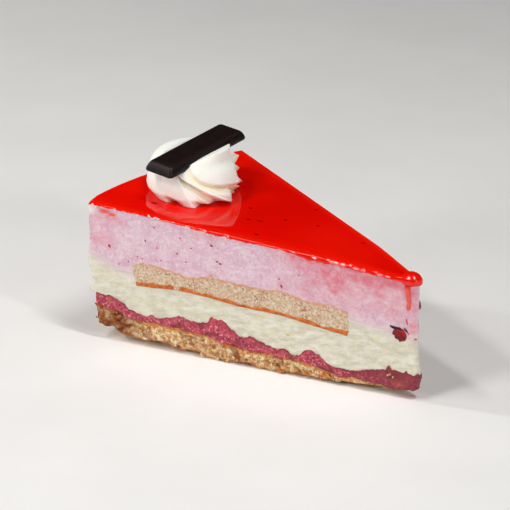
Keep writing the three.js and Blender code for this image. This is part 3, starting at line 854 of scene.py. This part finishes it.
def rose_mousse():
    wall = Wall(TIP_RADIUS, RIM_RADIUS, 60, rose_bottom, rose_top)
    s, z, r = wall.s, wall.z, wall.r
    pores = -0.25 * smooth(spots(s / 3, z / 3, 253), 0.12, 0.04)
    skin = mousse_skin(wall)
    wall.push(skin + pores, mousse_rim(z) + skin, skin - 0.1)
    below = glaze_shown_edge(r) - z
    stain = rough(s / 4, z / 3, 257, 3)
    near_tip = smooth(r, 62, 38)
    under_glaze = smooth(below, 1.8 + 9 * near_tip, 0) * (0.25 + 0.2 * near_tip + 0.25 * stain)
    cloud = 0.3 * near_tip * smooth(z, 23, 31) * (1 + 0.7 * stain)
    patches = blots(r, z, [
        (39, 40, 8, 4, 0.55), (33, 36, 5, 5, 0.45), (26.5, 37, 5, 4, 0.5), (18, 38.5, 7, 2.6, 0.55),
        (24, 34, 5, 3, 0.4), (18.5, 33, 5, 3, 0.45), (9, 34, 5, 4, 0.4), (5.5, 24.5, 2.6, 4.4, 0.9),
        (118, 34.7, 1.4, 1.2, 0.6), (78.7, 41.2, 1.3, 1, 0.6), (53, 32, 1.2, 2, 0.4),
        (121, 40, 9, 10, 0.5), (117, 44, 8, 3, 0.5), (82, 43.5, 8, 2, 0.4), (108, 31.8, 3.5, 0.8, 0.4)])
    wash = under_glaze + cloud + patches * (0.6 + 0.45 * stain)
    wash = np.clip(wash, 0, 0.85) * lerp(0.35, 1, wall.shown)
    white = blots(r, z, [(124.6, 46.8, 2, 2.4, 0.9), (118, 48.5, 6, 0.8, 0.6)])
    smear = blots(r, z, [(119.6, 46.8, 3.2, 1.2, 0.9), (116.6, 46.1, 2.6, 1.1, 0.9)])
    mesh = layer_mesh(wall, wash=wash, pale=mousse_blend(wall), white=white * wall.shown,
                      smear=smear * wall.shown)
    mesh.build("rose_mousse", rose_mousse_finish(), "raspberry_mousse", "raspberry_mousse")


def sponge_slab():
    wall = Wall(SLAB_INNER, SLAB_OUTER, 30, slab_bottom, slab_top)
    s, z, r, w = wall.s, wall.z, wall.r, wall.w
    hole = smooth(spots(s / 1.3, z / 1.1, 261), 0.3, 0.12)
    hole = hole * smooth(noise(s / 2.5, z / 2, 263), 0.05, 0.6)
    lower = 1.05 + 0.4 * rough(s / 2.4, 1, 265, 2)
    crust = smooth(z - wall.low, lower + 0.35, lower - 0.15)
    crust = crust * (1 - smooth(abs(r - CRUST_BREAK), 1.2, 0.6) * wall.shown)
    rim_line = smooth(SLAB_OUTER - r, 0.7, 0.2) * 0.7
    skin = smooth(wall.high - z + 0.5 * noise(s / 1.2, 4, 266), 1.1, 0.2) + rim_line
    crumb = 0.12 * rough(s / 1.1, z / 0.9, 267, 3)
    face = 0.12 + crumb - 0.35 * hole * (1 - crust) + 0.1 * crust
    wall.push(face, SLAB_LEAN * (w - 1) + crumb, 0.35 * noise(z / 1.1, 3, 269) + crumb)
    # Painted shade: the pushed-in holes are painted darker.
    mesh = layer_mesh(wall, crust=crust, pore=hole * (1 - crust), skin=np.clip(skin, 0, 0.8))
    mesh.build("sponge", sponge_finish(), "sponge", "sponge_slab")


def glaze_wall():
    """The cut edge of the glaze: tucked in at its foot, leaning back, and rounded at its lip.
    Its set_back says how far behind the shown face the lip ends."""
    levels = sum(steps for name, steps in LIP_STEPS)
    wall = Wall(TIP_RADIUS, RIM_RADIUS, levels, glaze_bottom, glaze_surface)
    step = np.arange(levels + 1)[:, None]
    parts, before = {}, 0
    for name, steps in LIP_STEPS:
        parts[name] = np.clip((step - before) / steps, 0, 1)
        before += steps
    thickness = wall.high - wall.low
    lip = LIP_SHARP + mounds(wall.r, LIP_ROUNDS) * wall.shown[:1]
    lip = np.minimum(lip * (1 + 0.05 * noise(wall.s / 3, 3, 277)), thickness * 0.75)
    foot = np.minimum(0.3, thickness * 0.2)
    proud = 0.14 + 0.35 * smooth(wall.r, 60, 20) * smooth(wall.r, 9, 14) * wall.shown[:1]
    proud = proud * (1 + 0.1 * noise(wall.s / 5.5, 1, 275))
    lean = EDGE_LEAN * (thickness - foot - lip) * (1 - parts["upright"])
    foot_turn = parts["foot"] * math.pi / 2
    lip_turn = parts["lip"] * math.pi / 2
    out = proud + lean - (proud + lean + 0.3) * (1 - np.sin(foot_turn))
    out = out - LIP_REACH * lip * (1 - np.cos(lip_turn) ** 1.33)
    up = foot * (1 - np.cos(foot_turn)) + (thickness - foot - lip) * parts["upright"]
    up = up + lip * np.sin(lip_turn) ** 1.33
    wall.w = up / thickness
    wall.push(out, out + 0.35, out - 0.3)
    wall.set_back = np.maximum(0, LIP_REACH * lip - proud)[-1, :wall.columns.along]
    return wall


def push_from_bead(points):
    """Moves points inside the bead at the tip out to its surface, with a soft join."""
    rel = (points - BEAD_MIDDLE) / BEAD_SIZE
    distance = np.linalg.norm(rel, axis=-1, keepdims=True)
    grown = (distance ** BEAD_SHARPNESS + 1) ** (1 / BEAD_SHARPNESS)
    return BEAD_MIDDLE + rel / np.maximum(distance, 1e-6) * grown * BEAD_SIZE


def add_drip(mesh):
    """A thin run of glaze down the shown face."""
    heights = np.linspace(0, 1, 44)[:, None]
    width = height_curve([(0, 0.1), (0.03, 0.55), (0.1, 0.85), (0.3, 0.8), (0.6, 1), (1, 1.4)])
    turns = np.arange(24)[None, :] / 24 * 2 * math.pi
    out, along = face_axes(0)
    foot = np.array([*place(DRIP_RADIUS_FROM_MIDDLE, 0), 0])
    half = width(heights) * DRIP_HALF_WIDTH * (1 + 0.12 * noise(heights * 9, 3, 285))
    sideways = (half * np.cos(turns))[..., None] + 0.25 * np.sin(heights * 5)[..., None]
    rings = foot + along * sideways + out * (half * 0.6 * np.sin(turns) + 0.1)[..., None]
    rings[..., 2] = lerp(DRIP_BOTTOM, DRIP_TOP, heights)
    # The run is paler than the glaze sheet, and paler still down its outer middle as a painted
    # highlight.
    mesh.add_tube(rings[:, ::-1], drip=lerp(0.7, 0.4, np.abs(np.cos(turns))) * smooth(heights, 1, 0.8))


def glaze():
    wall = glaze_wall()
    mesh = Mesh("thin", "drip")
    index = mesh.add_tube(push_from_bead(wall.points), ends=False, thin=0.25)
    c = wall.columns
    across = c.stations * SLICE_ANGLE
    edge_rows = GLAZE_EDGE_ROWS[:, None] * np.minimum(1, across / DIP_FULL_WIDTH) / across
    near = edge_rows + wall.set_back / across
    middle = np.linspace(0, 1, GLAZE_MIDDLE_ROWS)[1:-1, None]
    rows = np.concatenate([near, lerp(near[-1], 1 - edge_rows[-1], middle), 1 - edge_rows[::-1]])
    close_wall(mesh, wall, index[0], CAP_ROWS, False)
    thin = smooth(np.minimum(rows, 1 - rows) * across, 3, 0.3) * 0.5
    close_wall(mesh, wall, index[-1], rows, True, push_from_bead, thin=thin)
    add_drip(mesh)
    mesh.build("mirror_glaze", glaze_finish(), "glaze", "glaze")


def bar_axes():
    turn = Matrix.Rotation(BAR_TURN[2], 3, "Z") @ Matrix.Rotation(BAR_TURN[1], 3, "Y")
    return np.array(turn @ Matrix.Rotation(BAR_TURN[0], 3, "X"))


def toward(angle, degrees, edge, full):
    """1 round one side of the rosette, fading to 0 round the rest of it."""
    return smooth(np.cos(angle - math.radians(degrees)), edge, full)


def flute_shape(turn, rise):
    """Where each turn lies on its flute, -1 to 1 with the crest at 0, and how far the surface
    lies inside the whole form there."""
    valleys, depth_low, depth_high, crests, full_low, full_high, _, falls, rounds = np.array(FLUTES).T
    valleys = np.radians(np.append(valleys, valleys[0] + 360))
    crests = np.radians(crests)
    turn = (turn - valleys[0]) % (2 * math.pi) + valleys[0]
    index = np.clip(np.searchsorted(valleys, turn, side="right") - 1, 0, len(crests) - 1)
    before, after, crest = valleys[index], valleys[index + 1], crests[index]
    u = np.where(turn < crest, (turn - crest) / (crest - before), (turn - crest) / (after - crest))
    up = np.clip(1 + u, 0, 1)
    up = lerp(up ** 1.1, np.sin(up * math.pi / 2), rounds[index])
    shape = np.where(u < 0, up, 1 - smooth(u / falls[index], 0, 1))
    nearest = np.where(u < 0, index, (index + 1) % len(crests))
    depth = lerp(depth_low[nearest], depth_high[nearest], smooth(rise, 0, 0.16))
    fullness = lerp(full_low[index], full_high[index], smooth(rise, 0.01, 0.08))
    return u, depth * (1 - shape) + (1 - fullness) * shape


def above_coil_edge(angle, rise):
    """Millimetres above the lower edge of the top coil, less than 0 below it."""
    line = np.array(COIL_EDGE) * (math.radians(COIL_RADIUS), ROSETTE_HEIGHT)
    x, y = angle * COIL_RADIUS, rise * ROSETTE_HEIGHT
    nearest = np.full(x.shape, 99.0)
    for a, b in zip(line, line[1:]):
        step = b - a
        along = ((x - a[0]) * step[0] + (y - a[1]) * step[1]) / (step @ step)
        spot = a + np.clip(along, 0, 1)[..., None] * step
        nearest = np.minimum(nearest, np.hypot(x - spot[..., 0], y - spot[..., 1]))
    return np.where(y > np.interp(x, line[:, 0], line[:, 1]), nearest, -nearest)


def rosette_radius(height, side):
    """The radius of the whole form at a height, closed by a round cap."""
    shoulder, cap = side[-1]
    round_top = np.sqrt(np.clip((ROSETTE_HEIGHT - height) / (ROSETTE_HEIGHT - shoulder), 0, 1))
    return np.where(height < shoulder, height_curve(side)(height), cap * round_top)


def rosette():
    t = np.linspace(0, 1, ROSETTE_LEVELS)[:, None]
    height = ROSETTE_HEIGHT * np.sin(t * math.pi / 2)
    turn = (np.arange(ROSETTE_TURNS)[None, :] / ROSETTE_TURNS * 2 - 1) * math.pi
    crests, twists = np.array(FLUTES)[:, [3, 6]].T
    twist = np.radians(np.interp(np.degrees(turn), crests, twists, period=360))
    rise = height / ROSETTE_HEIGHT
    angle = (turn - twist * rise + math.pi) % (2 * math.pi) - math.pi
    narrow = rosette_radius(height, [
        (0, 15.8), (1.5, 16.6), (4.2, 16.6), (8.4, 15.8), (12, 14.4), (14.6, 11.2), (16.3, 6.6)])
    full = rosette_radius(height, [
        (0, 15.8), (1.5, 16.6), (4.2, 16.6), (8.4, 15.6), (11, 14.3), (12.8, 12.6), (16.3, 12)])
    radius = lerp(narrow, full, toward(angle, 35, -0.1, 0.8))
    radius = radius * (1 - 0.07 * toward(angle, -127, 0.2, 0.9) * smooth(rise, 0.2, 0))
    above = above_coil_edge(angle, rise)
    coil = smooth(above, -1, 1)
    calm_from = 0.36 * coil + 0.27 * smooth(rise, 0.6, 0.8)
    calm = smooth(angle, lerp(0.35, 0.74, coil), calm_from) * smooth(turn, 0.17, 0.25)
    calm = calm * smooth(angle, -1.75, -1.3)
    u, relief = flute_shape(turn, rise)
    radius = radius * (1 - relief * (1 - calm) * (1 - rise ** 10))
    groove = smooth(above, -2.6, -0.3) * smooth(above, 1.1, -0.3) * smooth(angle, 0.75, 0.45)
    groove = groove * (1 - rise ** 4)
    ridges = 0.005 * np.sin(u * 10 + 2) * (1 - np.abs(u)) + 0.006 * noise(turn * 12, rise * 5, 291)
    radius = radius * (1 - 0.09 * groove + ridges * (1 - rise ** 2))
    lean = rise ** 2
    x = ROSETTE_MIDDLE[0] + ROSETTE_LEAN[0] * lean + radius * np.cos(angle)
    y = ROSETTE_MIDDLE[1] + ROSETTE_LEAN[1] * lean + radius * np.sin(angle)
    z = glaze_top(np.hypot(x, y)) + 0.05 + height * (1 - 0.015 * toward(angle, 170, -0.2, 0.6))
    # Painted shade: darker, warmer cream in the valleys between flutes and in the groove under the top
    # coil.
    crease = smooth(relief, 0.05, 0.2) * (1 - calm) * np.sqrt(1 - rise ** 2)
    crease = np.maximum(crease, 0.8 * groove)
    mesh = Mesh("crease")
    mesh.add_tube(press_bar(np.stack([x, y, z], -1)), crease=crease)
    mesh.build("piped_cream", cream_finish(), "whipped_cream", "cream_rosette")


def press_bar(points):
    """Flattens the cream under the bar, and keeps it low along the bar's sides."""
    local = (points - BAR_MIDDLE) @ bar_axes()
    reach_x = np.abs(local[..., 0]) - BAR_LENGTH / 2
    reach_y = np.abs(local[..., 1]) - BAR_WIDTH / 2
    outside = np.maximum(reach_x, reach_y)
    low = CREAM_BESIDE_BAR + CREAM_SPREAD * np.maximum(outside, 0)
    beside = low + 0.15 * (local[..., 2] - low)
    beside = np.where(local[..., 2] > low, beside, local[..., 2])
    under = smooth(outside, 0.15, -0.1) * (local[..., 2] > CREAM_UNDER_BAR)
    local[..., 2] = lerp(beside, CREAM_UNDER_BAR, under)
    return local @ bar_axes().T + BAR_MIDDLE


def bar_ring(inset, height):
    """A rounded rectangle of points. The bar's ends lean in more than its sides."""
    half = np.array([BAR_LENGTH / 2 - inset * 1.4, BAR_WIDTH / 2 - inset])
    corner = max(1.4 - inset * 0.2, 0.7)
    quarter_turns = np.linspace(0, math.pi / 2, 9)
    points = []
    for quarter, signs in enumerate([(1, 1), (-1, 1), (-1, -1), (1, -1)]):
        a = quarter_turns + quarter * math.pi / 2
        middle = np.array(signs) * (half - corner)
        arc = middle + corner * np.stack([np.cos(a), np.sin(a)], -1)
        points += arc.tolist()
    closed = np.array(points + points[:1])
    line = []
    for k, (a, b) in enumerate(zip(closed, closed[1:])):
        count = 24 if k % 9 == 8 else 1
        line += [lerp(a, b, step / count) for step in range(count)]
    return np.column_stack([np.array(line), np.full(len(line), height)])


def chocolate_bar():
    """Rounded rectangles stacked into a bar whose sides lean in towards its top."""
    profile = [
        (0.35, 0.0), (0.1, 0.1), (0.0, 0.4), (0.08, 0.95), (0.28, 1.6), (0.55, 2.2), (0.85, 2.75),
        (1.15, 3.12), (1.55, 3.36), (2.1, 3.47), (2.8, BAR_THICKNESS), (4.2, BAR_THICKNESS)]
    rings = np.array([bar_ring(inset, height) for inset, height in profile])
    # Painted sheen: a lighter band round the rounded top edge, about 3 mm up the bar.
    edge = smooth(np.abs(rings[..., 2] - 3.0), 0.7, 0.1)
    mesh = Mesh("edge")
    mesh.add_tube(rings @ bar_axes().T + BAR_MIDDLE, edge=edge)
    mesh.build("chocolate", chocolate_finish(), "chocolate", "chocolate_bar")


def add_lump(mesh, middle, sizes, axes, seed, turns=12, rings=8, uneven=0.15, **marks):
    """An uneven ball with a size along each of its axes; its marks may follow its points."""
    theta = np.arange(turns)[None, :] / turns * 2 * math.pi
    phi = np.linspace(-1.45, 1.45, rings)[:, None]
    relief = 1 + uneven * noise(np.cos(theta) * 2 + seed * 3.7, phi * 2 + np.sin(theta) * 2, 281)
    ball = np.stack([
        np.cos(phi) * np.cos(theta), np.cos(phi) * np.sin(theta),
        np.sin(phi) * np.ones_like(theta)], -1) * relief[..., None]
    values = {name: mark(ball) if callable(mark) else mark for name, mark in marks.items()}
    mesh.add_tube(np.asarray(middle) + (ball * sizes) @ np.array(axes), **values)


def add_face_lump(mesh, radius, height, out, sizes, lean, seed, *shape, v=0, **marks):
    """A lump on a cut face, moved out of it, with its length leaning up along the face."""
    outward, along = face_axes(v)
    a = math.radians(lean)
    first = along * math.cos(a) + np.array([0, 0, math.sin(a)])
    middle = np.array([*place(radius, v), height]) + outward * out
    axes = [first, outward, np.cross(first, outward)]
    add_lump(mesh, middle, sizes, axes, seed, *shape, **marks)


def berries():
    finish = berry_finish()
    front = Mesh("bright", "dark")
    # The front piece is painted darker towards its top, as shade of the hollow above it.
    add_face_lump(front, 10.2, 22.1, -0.35, (2.6, 1.0, 2.35), -32, 1, 40, 28, 0.14,
                  bright=lambda p: smooth(p[..., 2] - 0.4 * p[..., 0], -0.25, -0.9) * 0.65,
                  dark=lambda p: smooth(p[..., 2] - 0.3 * p[..., 0], 0.2, 0.8))
    # The first four lumps are dark lines of painted shade in the hollow above the front piece; the last
    # two are red streaks.
    shade_lines_and_streaks = [
        (11.6, 24.1, -6, 2.0, 0.5, 1), (10.2, 24, -12, 1.6, 0.4, 1), (8, 23.9, -50, 1, 0.28, 1),
        (13, 24.3, -35, 0.8, 0.3, 1), (7.7, 26.9, -78, 1.2, 0.17, 0), (7.3, 23.2, -50, 0.8, 0.14, 0)]
    for k, (radius, height, lean, half, thin, dark) in enumerate(shade_lines_and_streaks):
        add_face_lump(front, radius, height, 0.08, (half, 0.25, thin), lean, k,
                      dark=dark, bright=1 - dark)
    front.build("berry_piece_front", finish, "berry", "berry_front")
    back = Mesh("bright", "dark")
    add_face_lump(back, 7.2, 31.7, -0.4, (1.9, 1.4, 1.9), 80, 2, 40, 28, 0.1, v=1,
                  bright=lambda p: smooth(p[..., 2], -0.6, 0.4) * 0.8)
    back.build("berry_piece_back", finish, "berry", "berry_back")


def fruit_specks():
    mesh = Mesh()
    for k, (radius, height, half, lean) in enumerate(SPECKS):
        add_face_lump(mesh, radius, height, 0.02, (half, 0.22, max(0.24, half * 0.55)), lean, k)
    mesh.build("fruit_specks", fruit_speck_finish(), "berry")


def glazed_seeds():
    mesh = Mesh()
    for k, (radius, v, half, heading) in enumerate(SEEDS):
        a = math.radians(heading)
        x, y = place(radius, v)
        axes = [(math.cos(a), math.sin(a), 0), (-math.sin(a), math.cos(a), 0), (0, 0, 1)]
        add_lump(mesh, (x, y, glaze_surface(radius, v)), (half, 0.42, 0.1), axes, k)
    mesh.build("glazed_seeds", seed_finish(), "glaze")


def white_crumbs():
    """Bits of mousse that the knife drew up along the foot of the glaze."""
    draw = np.random.default_rng(7)
    mesh = Mesh()
    for middle, half, size in WHITE_CLUSTERS:
        for k in range(3 + round(half * 5)):
            radius = middle + draw.uniform(-half, half)
            height = float(glaze_bottom(radius, 0)) + draw.uniform(-0.4, 0.3)
            sizes = np.array([0.36, 0.12, 0.17]) * size * draw.uniform(0.5, 1.3)
            add_face_lump(mesh, radius, height, 0.14, sizes, draw.uniform(-50, 30), k, 8, 6, 0.45)
    mesh.build("white_crumbs", white_crumb_finish(), "vanilla_mousse")


def biscuit_crumbs(finish):
    """Crumbs that cling to the biscuit and to the fruit above it."""
    draw = np.random.default_rng(11)
    mesh = Mesh("golden", "brown", "dark")
    for k in range(140):
        radius = draw.uniform(30, 124)
        low, high = float(biscuit_underside(radius, 0)), float(raspberry_bottom(radius, 0))
        height = lerp(low + 0.3, high - 0.6, draw.random() ** 1.3)
        sizes = np.array([0.75, 0.3, 0.4]) * draw.uniform(0.4, 1.4)
        end = float(smooth(radius, 106, 118))
        add_face_lump(mesh, radius, height, -0.25, sizes, draw.uniform(-60, 60), k, 8, 6, 0.5,
                      golden=max(end, draw.random()), brown=max(0.8 * end, draw.random() ** 3))
    for radius, height, half in ((13.4, 7.6, 0.5), (14.2, 7.2, 0.3), (12.3, 6.8, 0.35)):
        add_face_lump(mesh, radius, height, 0.1, (half, 0.3, half * 0.8), 20, radius, 8, 6, 0.35)
    mesh.build("biscuit_crumbs", finish, "biscuit")


# Stage, lights and camera

def direction(azimuth, elevation):
    a, e = math.radians(azimuth), math.radians(elevation)
    return np.array([math.sin(a) * math.cos(e), -math.cos(a) * math.cos(e), math.sin(e)])


def aim(made, spot, right, up, back):
    turn = Matrix((right, up, back)).transposed().to_4x4()
    made.matrix_world = Matrix.Translation(Vector(spot)) @ turn


def soft_light(name, start, end, power):
    """A narrow softbox that reaches from one direction to another."""
    ends = [direction(*start) * LIGHT_DISTANCE, direction(*end) * LIGHT_DISTANCE]
    length = np.linalg.norm(ends[1] - ends[0])
    middle = (ends[0] + ends[1]) / 2
    back, up = middle / np.linalg.norm(middle), (ends[1] - ends[0]) / length
    light = bpy.data.lights.new(name, "AREA")
    light.shape = "RECTANGLE"
    light.size = LIGHT_WIDTH
    light.size_y = length
    light.energy = power
    aim(add_to_scene(name, light), middle + LIGHT_CENTRE, np.cross(up, back), up, back)


def dim_dome():
    """A dome that is dark near the horizon and paler overhead."""
    world = bpy.data.worlds.new("dim_dome")
    world.use_nodes = True
    bpy.context.scene.world = world
    tree = world.node_tree
    coordinates = tree.nodes.new("ShaderNodeTexCoord")
    split = tree.nodes.new("ShaderNodeSeparateXYZ")
    ramp = tree.nodes.new("ShaderNodeMapRange")
    for socket, value in DOME.items():
        ramp.inputs[socket].default_value = value
    tree.links.new(coordinates.outputs["Generated"], split.inputs["Vector"])
    tree.links.new(split.outputs["Z"], ramp.inputs["Value"])
    tree.links.new(ramp.outputs["Result"], tree.nodes["Background"].inputs["Strength"])


def floor():
    """A wide pale floor."""
    half = FLOOR_WIDTH / 2
    corners = [(-half, -half, 0), (half, -half, 0), (half, half, 0), (-half, half, 0)]
    data = bpy.data.meshes.new("floor")
    data.from_pydata(corners, [], [(0, 1, 2, 3)])
    data.materials.append(floor_finish())
    made = add_to_scene("floor", data)


def camera():
    turned, roll = math.radians(CAMERA_AZIMUTH), math.radians(CAMERA_ROLL)
    back = direction(CAMERA_AZIMUTH, CAMERA_ELEVATION)
    level_right = np.array([math.cos(turned), math.sin(turned), 0.0])
    level_up = np.cross(back, level_right)
    right = level_right * math.cos(roll) - level_up * math.sin(roll)
    up = level_right * math.sin(roll) + level_up * math.cos(roll)
    data = bpy.data.cameras.new("camera")
    data.lens = CAMERA_LENS
    data.sensor_width = 36
    data.clip_start = 0.05
    data.clip_end = 20
    made = add_to_scene("camera", data)
    aim(made, (CAMERA_TARGET + back * CAMERA_DISTANCE + MIDDLE_OF_CAKE) * MM, right, up, back)
    bpy.context.scene.camera = made


baked = biscuit_finish()
biscuit_base(baked)
raspberry_layer()
vanilla_mousse()
sponge_slab()
rose_mousse()
glaze()
rosette()
chocolate_bar()
berries()
fruit_specks()
glazed_seeds()
white_crumbs()
biscuit_crumbs(baked)
floor()
camera()
dim_dome()
soft_light("left_low", (-16, 22), (1, 22), 2.2)
soft_light("left_middle", (-22, 44), (-2, 44), 2.35)
soft_light("left_high", (-46, 62), (-8, 62), 2.45)
soft_light("left_side", (-68, 16), (-68, 36), 3.6)
soft_light("right_low", (84, 10), (84, 30), 3.2)
soft_light("right_high", (90, 58), (90, 78), 4.4)

bpy.context.scene.view_settings.view_transform = "Standard"
